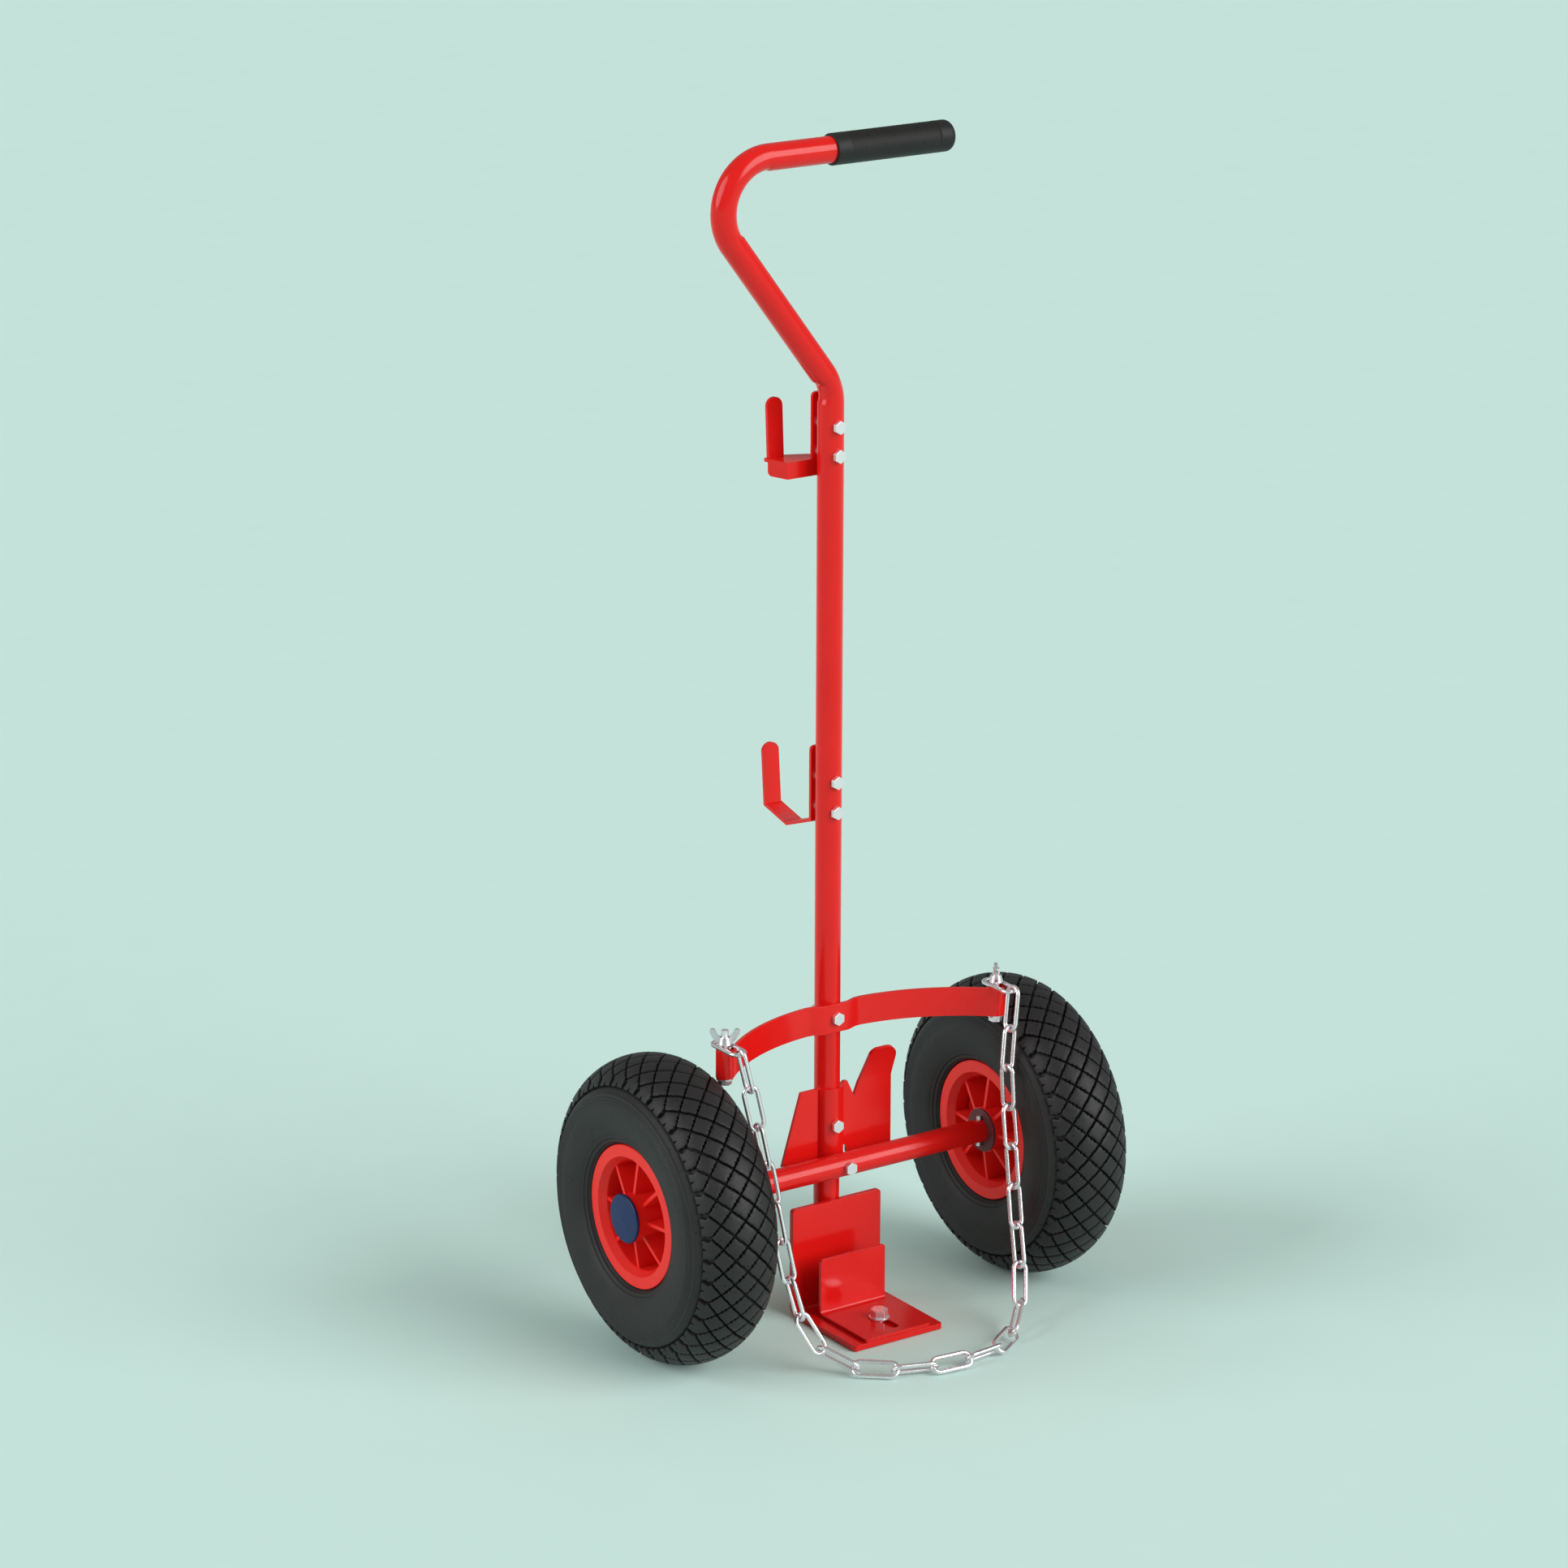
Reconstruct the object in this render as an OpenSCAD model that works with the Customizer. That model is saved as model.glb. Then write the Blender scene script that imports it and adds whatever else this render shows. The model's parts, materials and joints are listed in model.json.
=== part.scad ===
// Two-wheel cart for one gas bottle, in millimetres.
// The origin is on the floor under the middle of the axle. +Z is up, +X runs along the axle
// to the right, and the bottle stands on the -Y side, in front of the stem.

/* [Stem and handle] */
// Height of the cart, floor to top of the grip
total_h = 1000; // [920:10:1080]
// Outer diameter of the stem tubes
stem_d = 22; // [20:0.5:25]
// Wall of the stem tubes
stem_wall = 1.2; // [1:0.1:2.5]
// Height at which the lower and the upper tube meet
joint_z = 449; // [440:1:458]
// Length of the sleeve that joins the two tubes
sleeve_l = 90; // [70:2:120]
// Angle of the slanted run of the handle, from upright
slant = 37.2; // [30:0.2:44]
// Sideways distance from the stem to the middle of the upper bend
bend_out = 61.5; // [52:0.5:72]
// Centre-line radius of the upper bend
bend_r = 42; // [34:1:46]
// Centre-line radius of the lower bend
low_bend_r = 45; // [34:1:60]
// Diameter of the hand grip
grip_d = 26; // [25.6:0.2:32]
// Length of the hand grip
grip_l = 117; // [90:1:130]

/* [Wheels] */
// Outer diameter of the tyres
tyre_d = 260; // [250:2:280]
// Width of the tyres
tyre_w = 85; // [76:1:88]
// Distance between the middle planes of the tyres
track = 355; // [350:2:400]
// Outer diameter of the rim flange
rim_d = 121; // [112:1:130]
// Width over the two rim flanges
rim_w = 67; // [60:1:70]
// Width of the flat ring on the rim flange
flange_w = 10; // [7:0.5:12]
// Ribs on each face of the rim
rib_n = 8; // [6:2:12]
// Thickness of the ribs and of the web
rib_t = 3; // [2:0.5:4]
// Outer diameter of the hub
hub_d = 39; // [34:0.5:44]
// Diameter of the hub cap over the skirt
cap_d = 41.6; // [40:0.4:48]
// Height of the domed end of the hub cap
cap_h = 3.4; // [3.2:0.2:6]

/* [Axle] */
// Outer diameter of the axle tube
axle_d = 20; // [16:0.5:22]
// Wall of the axle tube
axle_wall = 2; // [1.5:0.1:3]

/* [Hooks] */
// Thickness of the folded sheet of the hooks, the gusset and the foot stop
sheet_t = 3; // [2:0.5:4]
// Width of the upright hook plates
hook_w = 16; // [14:0.5:20]
// Height of the upper hook plate
up_plate_h = 69.5; // [64:0.5:76]
// Depth of the fold under the upper hook
up_fold_h = 14; // [10:0.5:16]
// Reach of the upper hook behind its plate
up_reach = 22; // [18:0.5:28]
// Height of the upper hook tip above its shelf
up_tip_h = 49.5; // [36:0.5:54]
// Height of the lower hook plate
low_plate_h = 64; // [60:0.5:70]
// Reach of the lower hook behind its plate
low_reach = 67; // [50:1:80]
// Height of the lower hook tip
low_tip_h = 52; // [40:1:60]
// Height of the lower end of the lower hook plate
low_hook_z = 424; // [418:1:428]

/* [Cradle and chain] */
// Height of the cradle strap
strap_h = 25; // [20:0.5:30]
// Thickness of the cradle strap
strap_t = 3; // [2.5:0.5:4]
// Radius of the hollow face of the cradle
cradle_r = 175; // [165:1:190]
// Wire diameter of the chain
chain_wire = 3.6; // [3:0.1:3.6]

/* [Base] */
// Width of the base plate
base_w = 90; // [80:1:110]
// Height of the back of the base plate
back_h = 95.5; // [80:0.5:105]
// Thickness of the base plate
base_t = 5; // [4:0.5:6]
// Reach of the toe in front of the axle
toe_reach = 83; // [78:1:95]
// Width of the foot stop
stop_w = 66; // [50:1:78]
// Height of the foot stop above the toe
stop_h = 51; // [40:1:60]
// Travel of the foot stop on its slot
stop_travel = 20; // [10:1:20]

/* [Gusset] */
// Reach of the left wing of the gusset
wing_left = 49; // [40:1:60]
// Reach of the right wing of the gusset
wing_right = 62; // [58:1:70]
// Height of the gusset above the axle line
gusset_h = 64; // [56:1:70]
// Length of the tilted finger of the gusset
finger_l = 32; // [24:1:38]

/* [Hidden] */
$fn = 96;

// Clearances
fit = 0.05;
run = 0.1;
gap = 0.3;

// Main lines
axle_z = tyre_d / 2;
stem_r = stem_d / 2;
stem_y = axle_d / 2 + fit + sheet_t + fit + stem_r;
stem_front = stem_y - stem_r;
stem_back = stem_y + stem_r;
stem_foot = 1.5;

// Handle: the bends lie in the plane of the stem
grip_z = total_h - grip_d / 2;
bend_z = grip_z - bend_r;
bend_x = -bend_out;
slant_top = [bend_x - bend_r * cos(slant), bend_z - bend_r * sin(slant)];
corner_z = slant_top[1] + slant_top[0] / tan(slant);
low_bend_z = corner_z - low_bend_r * tan(slant / 2);
slant_low = [-low_bend_r * (1 - cos(slant)), low_bend_z + low_bend_r * sin(slant)];
slant_l = norm(slant_top - slant_low);
grip_x = -2;
handle_end = grip_x + grip_l - 5;

// Bolts: thread diameter, head across flats, head height
m6 = 6;
m6_af = 10;
m6_k = 4;
m6_hole = m6 + 0.3;
strap_z = max(257, tyre_d - 3);
gusset_bolt_z = axle_z + 31.5;

// Hooks
hook_y = stem_back + sheet_t;
hook_back = hook_y + sheet_t;
up_hook_z = corner_z - 7.5 - up_plate_h;
up_shelf_z = up_hook_z + up_fold_h;
up_bolts = [up_hook_z + 44.5, up_hook_z + 20.4];
low_bolts = [low_hook_z + 38, low_hook_z + 12];
hook_zs = concat(up_bolts, low_bolts);

// Cradle: the arms are arcs, and a rolled eye at each end takes an upright bolt
eye_in = 4.5;
eye_out = eye_in + strap_t;
eye_x = 137;
arm_x = 12;
arm_front = stem_front - strap_t + 5;
arm_c = [arm_x, arm_front - cradle_r];
eye_y = arm_c[1] + sqrt(pow(cradle_r + strap_t + eye_in, 2) - pow(eye_x - arm_x, 2));
strap_top = strap_z + strap_h / 2;
strap_low = strap_z - strap_h / 2;

// Chain: inner length and outer width of a link
link_in = 33.5;
link_w = 16;
link_r = (link_w - chain_wire) / 2;
link_run = link_in + chain_wire - 2 * link_r;
link_apex = (link_in + chain_wire) / 2;
chain_gap = 0.25;
chain_step = (chain_wire + chain_gap) / 2;
end_link_z = strap_top + chain_wire / 2 + 0.02;
chain_top_y = -51;

// Base
toe_bolt_x = 3;
toe_bolt_y = 33 - toe_reach;
m8 = 8;
slot_w = 9;
stop_z = base_t + run;
stop_y = stem_front - base_t - stop_travel - 1 - sheet_t;

// Wheel, measured from the middle plane of the tyre
wheel_x = track / 2;
rim_r = rim_d / 2;
rim_half = rim_w / 2;
seat_r = rim_r - flange_w - 0.5;
barrel_r = seat_r - 4;
hub_r = hub_d / 2;
bush_r = axle_d / 2 + run + 2;
hub_in = 32;
hub_out = 29;
bush_t = 2;
boss_r = (hub_r + barrel_r) / 2 + 5;
boss_at = [10, 100, 170, 260];
hub_end = 38.5;
nest_r = hub_r - 2.9;
valve_w = 12;

// The route of the chain: where its links meet, and how each link is rolled
chain_route = [
    [131.5, -55, 241, 30], [124.5, -61, 209, -60], [122, -67.5, 177, 60], [119, -76, 145, -25],
    [116, -84.5, 113, 65], [113, -93, 81, -25], [108.5, -104.5, 50.5, 65], [99, -118, 22.5, -35],
    [77.5, -137.5, 8, 55], [49.5, -155, 7, -40], [16.5, -159, 7, 45], [-16.5, -156, 7, -45],
    [-47.5, -144.5, 7, 45], [-73, -124, 7.5, -45], [-91.5, -100.5, 19.5, 55], [-104, -89, 47.5, -45],
    [-109.5, -81, 79, 55], [-113.5, -75, 111.5, -30], [-117.5, -69.5, 144, 60],
    [-121.5, -64, 176.5, -35], [-126, -59, 209, 45], [-131.5, -55, 241, -60], [0, 0, 0, 30]];

function unit(v) = v / norm(v);
function xyz(p) = [p[0], p[1], p[2] + strap_z - 257];
function chain_end(s, p) = let (e = [s * eye_x, chain_top_y, end_link_z]) e + (chain_step + gap) * unit(e - p);
function chain_node(i) = let (n = len(chain_route))
    i == 0 ? chain_end(1, xyz(chain_route[0]))
    : i == n ? chain_end(-1, xyz(chain_route[n - 2]))
    : xyz(chain_route[i - 1]);

// A strip of even thickness t along the points p, with mitred corners
function turn90(v) = [-v[1], v[0]];
function run_dir(p, i) = unit(p[min(i + 1, len(p) - 1)] - p[min(i, len(p) - 2)]);
function corner_off(p, i) = let (a = turn90(run_dir(p, max(i - 1, 0))), b = turn90(run_dir(p, i)))
    (a + b) / (1 + a * b);
function strip(p, t) = concat(
    [for (i = [0 : len(p) - 1]) p[i] + corner_off(p, i) * t / 2],
    [for (i = [len(p) - 1 : -1 : 0]) p[i] - corner_off(p, i) * t / 2]);
function arc(c, r, a, b, n) = [for (i = [0 : n]) c + r * [cos(a + (b - a) * i / n), sin(a + (b - a) * i / n)]];

// A hexagon head or nut of height k, from z = 0 upwards
module hex(af, k) {
    rotate([0, 0, 30]) cylinder(d = af / cos(30), h = k, $fn = 6);
}

// A bolt along +Y with the underside of its head at y = 0
module bolt_y(l) {
    rotate([-90, 0, 0]) {
        translate([0, 0, -m6_k]) hex(m6_af, m6_k);
        translate([0, 0, -1]) cylinder(d = m6, h = l + 1);
    }
}

// A nut on a bolt along +Y, from y = 0 backwards
module nut_y() {
    rotate([-90, 0, 0]) difference() {
        hex(m6_af, 5);
        translate([0, 0, -1]) cylinder(d = m6 + 0.05, h = 7);
    }
}

module hole_y(z) {
    translate([0, -60, z]) rotate([-90, 0, 0]) cylinder(d = m6_hole, h = 240);
}

// What is cut from a square corner to round it with radius r, along +Z
module corner_cut(r, h) {
    difference() {
        translate([0, 0, -1]) cube([r + 1, r + 1, h + 2]);
        translate([0, 0, -2]) cylinder(r = r, h = h + 4);
    }
}

module lower_tube() color([0.85, 0.15, 0.14]) difference() {
    translate([0, stem_y, stem_foot]) cylinder(d = stem_d, h = joint_z - stem_foot);
    translate([0, stem_y, stem_foot - 1]) cylinder(d = stem_d - 2 * stem_wall, h = joint_z - stem_foot + 2);
    for (z = concat([low_bolts[1], strap_z, gusset_bolt_z], [axle_z])) hole_y(z);
}

// The run of the handle as a solid of diameter d, longer at both ends by e, laid out from the
// middle of the upper bend
module handle_run(d, e) translate([bend_x, stem_y, bend_z]) rotate([90, 0, 0]) {
    translate([0, bend_r, 0]) rotate([0, 90, 0]) cylinder(d = d, h = handle_end - bend_x + e);
    rotate([0, 0, 90]) rotate_extrude(angle = 90 + slant) translate([bend_r, 0]) circle(d = d);
    rotate([0, 0, 180 + slant]) translate([bend_r, 0, 0]) {
        rotate([-90, 0, 0]) cylinder(d = d, h = slant_l);
        translate([low_bend_r, slant_l, 0]) {
            rotate([0, 0, 180 - slant]) rotate_extrude(angle = slant) translate([low_bend_r, 0]) circle(d = d);
            rotate([0, 0, -slant]) translate([-low_bend_r, 0, 0]) rotate([-90, 0, 0])
                cylinder(d = d, h = low_bend_z - joint_z + e);
        }
    }
}

module upper_tube() color([0.85, 0.15, 0.14]) difference() {
    handle_run(stem_d, 0);
    handle_run(stem_d - 2 * stem_wall, 1);
    for (z = concat(up_bolts, [low_bolts[0]])) hole_y(z);
}

module joint_sleeve() color([0.6, 0.6, 0.6]) difference() {
    sleeve_d = stem_d - 2 * stem_wall - 2 * fit;
    translate([0, stem_y, joint_z - sleeve_l / 2]) cylinder(d = sleeve_d, h = sleeve_l);
    translate([0, stem_y, joint_z - sleeve_l / 2 - 1]) cylinder(d = sleeve_d - 4, h = sleeve_l + 2);
    for (z = low_bolts) hole_y(z);
}

// The plug closes the foot of the stem, which stands on the floor behind the base plate
module stem_plug() color([0.1, 0.1, 0.1]) translate([0, stem_y, 0]) {
    cylinder(d = stem_d - 0.4, h = stem_foot);
    translate([0, 0, stem_foot - 0.5]) cylinder(d = stem_d - 2 * stem_wall - 2 * fit, h = 12);
}

module hand_grip() color([0.18, 0.18, 0.17]) translate([grip_x, stem_y, grip_z]) rotate([0, 90, 0]) {
    end_r = grip_d / 2 - 3;
    difference() {
        union() {
            rotate_extrude() polygon(concat([[0, 0], [grip_d / 2 - 0.6, 0], [grip_d / 2, 0.6]],
                [for (a = [0 : 10 : 90]) [grip_d / 2 - 6 + 6 * cos(a), grip_l - 6 + 6 * sin(a)]], [[0, grip_l]]));
        }
        translate([0, 0, -1]) cylinder(d = stem_d + 2 * fit, h = grip_l - 5 + 1 + fit);
    }
}

// The upper hook is cut and folded from one sheet: plate, arm, fold, shelf and tip
module upper_hook() color([0.85, 0.15, 0.14]) difference() {
    union() {
        translate([-hook_w / 2, hook_y, up_hook_z]) cube([hook_w, sheet_t, up_plate_h]);
        translate([-32.5, hook_y, up_hook_z]) cube([32.5, sheet_t, up_fold_h]);
        translate([0, 0, up_shelf_z - sheet_t]) linear_extrude(sheet_t)
            polygon([[-32.5, hook_y], [hook_w / 2, hook_y], [hook_w / 2, hook_back + 10],
                [-18, hook_back + up_reach], [-38.5, hook_back + up_reach], [-38.2, hook_back + up_reach - 4]]);
        translate([-32.5, hook_y, up_hook_z]) rotate([0, 0, 15.6]) difference() {
            cube([sheet_t, 21, up_fold_h]);
            translate([-1, 17, 4]) rotate([90, 0, 90]) rotate([0, 0, -90]) corner_cut(4, sheet_t + 2);
        }
        translate([-36, hook_back + up_reach - sheet_t, up_shelf_z - sheet_t]) rotate([-3, 0, 0]) {
            cube([15, sheet_t, up_tip_h + sheet_t - 7.5]);
            translate([7.5, 0, up_tip_h + sheet_t - 7.5]) rotate([-90, 0, 0]) cylinder(r = 7.5, h = sheet_t);
        }
    }
    for (z = up_bolts) hole_y(z);
    for (s = [-1, 1]) translate([s * (hook_w / 2 - 4), hook_y, up_hook_z + up_plate_h - 4]) rotate([-90, 0, 0])
        rotate([0, 0, s > 0 ? -90 : 180]) corner_cut(4, sheet_t);
}

// The lower hook is one bent strip
low_fold = [hook_y + sheet_t / 2, low_hook_z];
low_path = [[hook_y + sheet_t / 2, low_hook_z + low_plate_h], low_fold,
    low_fold + [0.52 * low_reach, -12.4], low_fold + [low_reach, -4],
    low_fold + [low_reach + 3.5, low_tip_h - 12]];
low_tip_dir = unit(low_path[4] - low_path[3]);
low_tip_run = concat([for (i = [0 : 3]) low_path[i]], [low_path[4] + low_tip_dir * (hook_w / 2 + 1)]);

module lower_hook() color([0.85, 0.15, 0.14]) difference() {
    translate([-hook_w / 2, 0, 0]) rotate([90, 0, 90]) linear_extrude(hook_w) polygon(strip(low_tip_run, sheet_t));
    translate([0, low_path[4][0], low_path[4][1]]) rotate([atan2(low_tip_dir[1], low_tip_dir[0]), 0, 0])
        translate([0, 0, -sheet_t]) difference() {
            translate([-hook_w, 0, 0]) cube([2 * hook_w, hook_w, 2 * sheet_t]);
            translate([0, 0, -1]) cylinder(d = hook_w + 0.6, h = 2 * sheet_t + 2);
        }
    for (z = low_bolts) translate([0, hook_y - 1, z]) rotate([-90, 0, 0]) cylinder(d = m6_hole, h = sheet_t + 2);
    for (s = [-1, 1]) translate([s * (hook_w / 2 - 4), hook_y, low_hook_z + low_plate_h - 4]) rotate([-90, 0, 0])
        rotate([0, 0, s > 0 ? -90 : 180]) corner_cut(4, sheet_t);
}

module hook_spacers() color([0.75, 0.75, 0.77]) for (z = hook_zs)
    translate([0, stem_back, z]) rotate([-90, 0, 0]) difference() {
        cylinder(d = 10, h = sheet_t);
        translate([0, 0, -1]) cylinder(d = m6_hole, h = sheet_t + 2);
    }

module hook_bolts() color([0.8, 0.8, 0.82]) for (z = hook_zs)
    translate([0, stem_front, z]) bolt_y(hook_back - stem_front + 7);

module hook_nuts() color([0.8, 0.8, 0.82]) for (z = hook_zs)
    translate([0, hook_back, z]) nut_y();

// Half of the centre line of the cradle: joggle, arc and rolled eye
arm_mid = cradle_r + strap_t / 2;
arm_start = acos((27 - arm_x) / arm_mid);
arm_end = acos((eye_x - arm_x) / (arm_mid + eye_in + strap_t / 2));
half_path = concat([[12, stem_front - strap_t / 2], [21, arm_front + strap_t / 2 - 1.2]],
    arc(arm_c, arm_mid, arm_start, arm_end, 16),
    arc([eye_x, eye_y], eye_in + strap_t / 2, arm_end + 192, arm_end + 180 + 290, 22));
cradle_path = concat([for (i = [len(half_path) - 1 : -1 : 0]) [-half_path[i][0], half_path[i][1]]], half_path);

module cradle_strap() color([0.85, 0.15, 0.14]) difference() {
    translate([0, 0, strap_low]) linear_extrude(strap_h) polygon(strip(cradle_path, strap_t));
    hole_y(strap_z);
}

// The gusset hugs the front of the stem behind the axle and spreads into two flat wings
wing_y = stem_front + 5.5;
module axle_gusset() color([0.85, 0.15, 0.14]) {
    top = axle_z + gusset_h;
    low = axle_z + 1.5;
    difference() {
        union() {
            translate([0, wing_y + sheet_t, 0]) rotate([90, 0, 0]) linear_extrude(sheet_t)
                polygon([[-wing_left, low], [-30, top], [-10, top], [-10, low]]);
            translate([0, wing_y + sheet_t, 0]) rotate([90, 0, 0]) linear_extrude(sheet_t)
                polygon([[10, low], [10, top - 1], [14, top + 2], [17, top + 1.5], [24, top - 13], [29, top - 1],
                    [wing_right, top - 1], [wing_right, low]]);
            intersection() {
                translate([0, stem_y, axle_z - 9]) cylinder(r = stem_r + fit + sheet_t, h = gusset_h + 9);
                translate([-20, 0, axle_z - 9]) cube([40, wing_y + sheet_t, gusset_h + 9]);
            }
            translate([0, wing_y + sheet_t, top - 1]) rotate([90 + 20, 0, 0]) linear_extrude(sheet_t) {
                polygon([[29, -1], [wing_right, -1], [wing_right, finger_l - 12], [wing_right - 12, finger_l],
                    [40, finger_l], [34, finger_l - 7]]);
                translate([wing_right - 12, finger_l - 12]) circle(r = 12);
                translate([41, finger_l - 7]) circle(r = 7);
            }
        }
        translate([0, stem_y, 0]) cylinder(r = stem_r + fit, h = 400);
        hole_y(gusset_bolt_z);
        hole_y(axle_z);
        translate([13.5, 0, axle_z + 6]) rotate([-90, 0, 0]) cylinder(r = 3, h = 40);
        translate([10.5, 0, axle_z - 20]) cube([6, 40, 26]);
    }
}

frame_bolt_at = [[stem_front - strap_t, strap_z], [stem_front - sheet_t - fit, gusset_bolt_z], [-axle_d / 2, axle_z]];

module frame_bolts() color([0.8, 0.8, 0.82]) for (b = frame_bolt_at)
    translate([0, b[0], b[1]]) bolt_y(stem_back - b[0] + 7);

module frame_nuts() color([0.8, 0.8, 0.82]) for (b = frame_bolt_at)
    translate([0, stem_back, b[1]]) nut_y();

axle_end = wheel_x + hub_out + bush_t + 6.5;
stop_in = wheel_x - hub_in - bush_t - gap;
stop_out = wheel_x + hub_out + bush_t + gap;

module axle_tube() color([0.85, 0.15, 0.14]) difference() {
    translate([-axle_end, 0, axle_z]) rotate([0, 90, 0]) cylinder(d = axle_d, h = 2 * axle_end);
    translate([-axle_end - 1, 0, axle_z]) rotate([0, 90, 0]) cylinder(d = axle_d - 2 * axle_wall, h = 2 * axle_end + 2);
    hole_y(axle_z);
    for (s = [-1, 1]) {
        translate([s * (stop_in - 2), 0, axle_z]) cylinder(d = 4.05, h = 40, center = true);
        translate([s * (stop_out + 1.5 + 1.6), 0, axle_z]) cylinder(d = 3.05, h = 40, center = true);
    }
}

// Pins and washers that keep the wheels in place on the axle
module axle_stops() color([0.8, 0.8, 0.82]) for (s = [-1, 1]) {
    translate([s * (stop_in - 2), 0, axle_z]) cylinder(d = 4, h = axle_d + 7, center = true);
    translate([s * (stop_out + 1.5 + 1.6), 0, axle_z]) cylinder(d = 3, h = axle_d + 9, center = true);
    translate([s * (stop_out + 0.75), 0, axle_z]) rotate([0, 90, 0]) difference() {
        cylinder(d = axle_d + 11, h = 1.5, center = true);
        cylinder(d = axle_d + 2 * fit, h = 3, center = true);
    }
}

// The base is one sheet bent into a back and a toe
module base_plate() color([0.85, 0.15, 0.14]) {
    bend = 7.5;
    back_y = stem_front - base_t / 2;
    path = concat([[back_y, back_h]], arc([back_y - bend, bend + base_t / 2], bend, 0, -90, 8),
        [[-toe_reach, base_t / 2]]);
    difference() {
        translate([-base_w / 2, 0, 0]) rotate([90, 0, 90]) linear_extrude(base_w) polygon(strip(path, base_t));
        for (s = [-1, 1]) {
            translate([s * (base_w / 2 - 3), stem_front - base_t, back_h - 3]) rotate([-90, 0, 0])
                rotate([0, 0, s > 0 ? -90 : 180]) corner_cut(3, base_t);
            translate([s * (base_w / 2 - 3), 3 - toe_reach, 0]) rotate([0, 0, s > 0 ? -90 : 180])
                corner_cut(3, base_t);
        }
        translate([toe_bolt_x, toe_bolt_y, -1]) cylinder(d = m8 + 2 * fit, h = base_t + 2);
    }
}

module toe_bolt() color([0.8, 0.8, 0.82]) translate([toe_bolt_x, toe_bolt_y, 0]) {
    head_z = stop_z + sheet_t + run;
    translate([0, 0, 0.5]) cylinder(d = m8, h = head_z);
    translate([0, 0, head_z]) cylinder(d = 17.5, h = 1.6);
    translate([0, 0, head_z + 1]) hex(13, 7);
}

// The foot stop slides on its slot under the head of the toe bolt
module toe_stop() color([0.85, 0.15, 0.14]) {
    path = concat([[stop_y + sheet_t / 2, stop_z + stop_h]],
        arc([stop_y + sheet_t / 2 - 4, stop_z + sheet_t / 2 + 4], 4, 0, -90, 6),
        [[-toe_reach + 0.5, stop_z + sheet_t / 2]]);
    difference() {
        translate([-stop_w / 2, 0, 0]) rotate([90, 0, 90]) linear_extrude(stop_w) polygon(strip(path, sheet_t));
        for (s = [-1, 1]) {
            translate([s * (stop_w / 2 - 2.5), stop_y, stop_z + stop_h - 2.5]) rotate([-90, 0, 0])
                rotate([0, 0, s > 0 ? -90 : 180]) corner_cut(2.5, sheet_t);
            translate([s * (stop_w / 2 - 2.5), 3 - toe_reach, stop_z]) rotate([0, 0, s > 0 ? -90 : 180])
                corner_cut(2.5, sheet_t);
        }
        translate([toe_bolt_x, toe_bolt_y, stop_z - 1]) {
            cylinder(d = slot_w, h = sheet_t + 2);
            translate([0, -stop_travel, 0]) cylinder(d = slot_w, h = sheet_t + 2);
            translate([-slot_w / 2, -stop_travel, 0]) cube([slot_w, stop_travel, sheet_t + 2]);
        }
    }
}

nut_z = end_link_z + chain_wire / 2 + gap;

// An upright bolt with a ring head washer under each rolled eye
module eye_bolts() color([0.8, 0.8, 0.82]) for (s = [-1, 1]) translate([s * eye_x, eye_y, 0]) {
    translate([0, 0, strap_low - 1.5]) cylinder(d = 14, h = 1.5);
    translate([0, 0, strap_low - 1.5 - m6_k]) hex(m6_af, m6_k + 0.5);
    translate([0, 0, strap_low - 1.5]) cylinder(d = m6, h = nut_z + 12 - strap_low + 1.5);
}

// One chain link, its length along X and its width along Y
module link() {
    for (s = [-1, 1]) {
        translate([-link_run / 2, s * link_r, 0]) rotate([0, 90, 0]) cylinder(d = chain_wire, h = link_run);
        translate([s * link_run / 2, 0, 0]) rotate([0, 0, -90 * s]) rotate_extrude(angle = 180)
            translate([link_r, 0]) circle(d = chain_wire);
    }
}

module link_between(a, b, roll) {
    d = unit(b - a);
    translate((a + b) / 2) rotate([0, -asin(d[2]), atan2(d[1], d[0])]) rotate([roll, 0, 0]) link();
}

// The end links lie flat on the rolled eyes, round the upright bolts
module chain_end_links() color([0.8, 0.8, 0.82]) for (s = [-1, 1])
    translate([s * eye_x, chain_top_y + link_apex, end_link_z]) rotate([0, 0, 90]) link();

module chain_links() color([0.8, 0.8, 0.82]) for (i = [0 : len(chain_route) - 1])
    link_between(chain_node(i), chain_node(i + 1), chain_route[i][3]);

module wing_nut(s) color([0.8, 0.8, 0.82]) translate([s * eye_x, eye_y, nut_z]) difference() {
    union() {
        cylinder(d1 = 12, d2 = 9, h = 6);
        for (a = [0, 180]) rotate([0, 0, a + (s > 0 ? 55 : -35)]) translate([0, 1.4, 0]) rotate([90, 0, 0])
            linear_extrude(2.8) {
                polygon([[3, 1], [5.8, 1], [9.4, 4.8], [12.2, 9.6], [7.6, 11.6], [5.6, 7.6], [3, 5.4]]);
                translate([9.9, 10.6]) circle(r = 2.5);
            }
    }
    translate([0, 0, -1]) cylinder(d = m6 + 2 * run, h = 20);
}

module wing_nut_left() wing_nut(-1);
module wing_nut_right() wing_nut(1);

// Puts a shape drawn about the Z axis on the axle, outside of the wheel towards +X or -X
module on_wheel(s) {
    translate([s * wheel_x, 0, axle_z]) rotate([0, s * 90, 0]) children();
}

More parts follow.
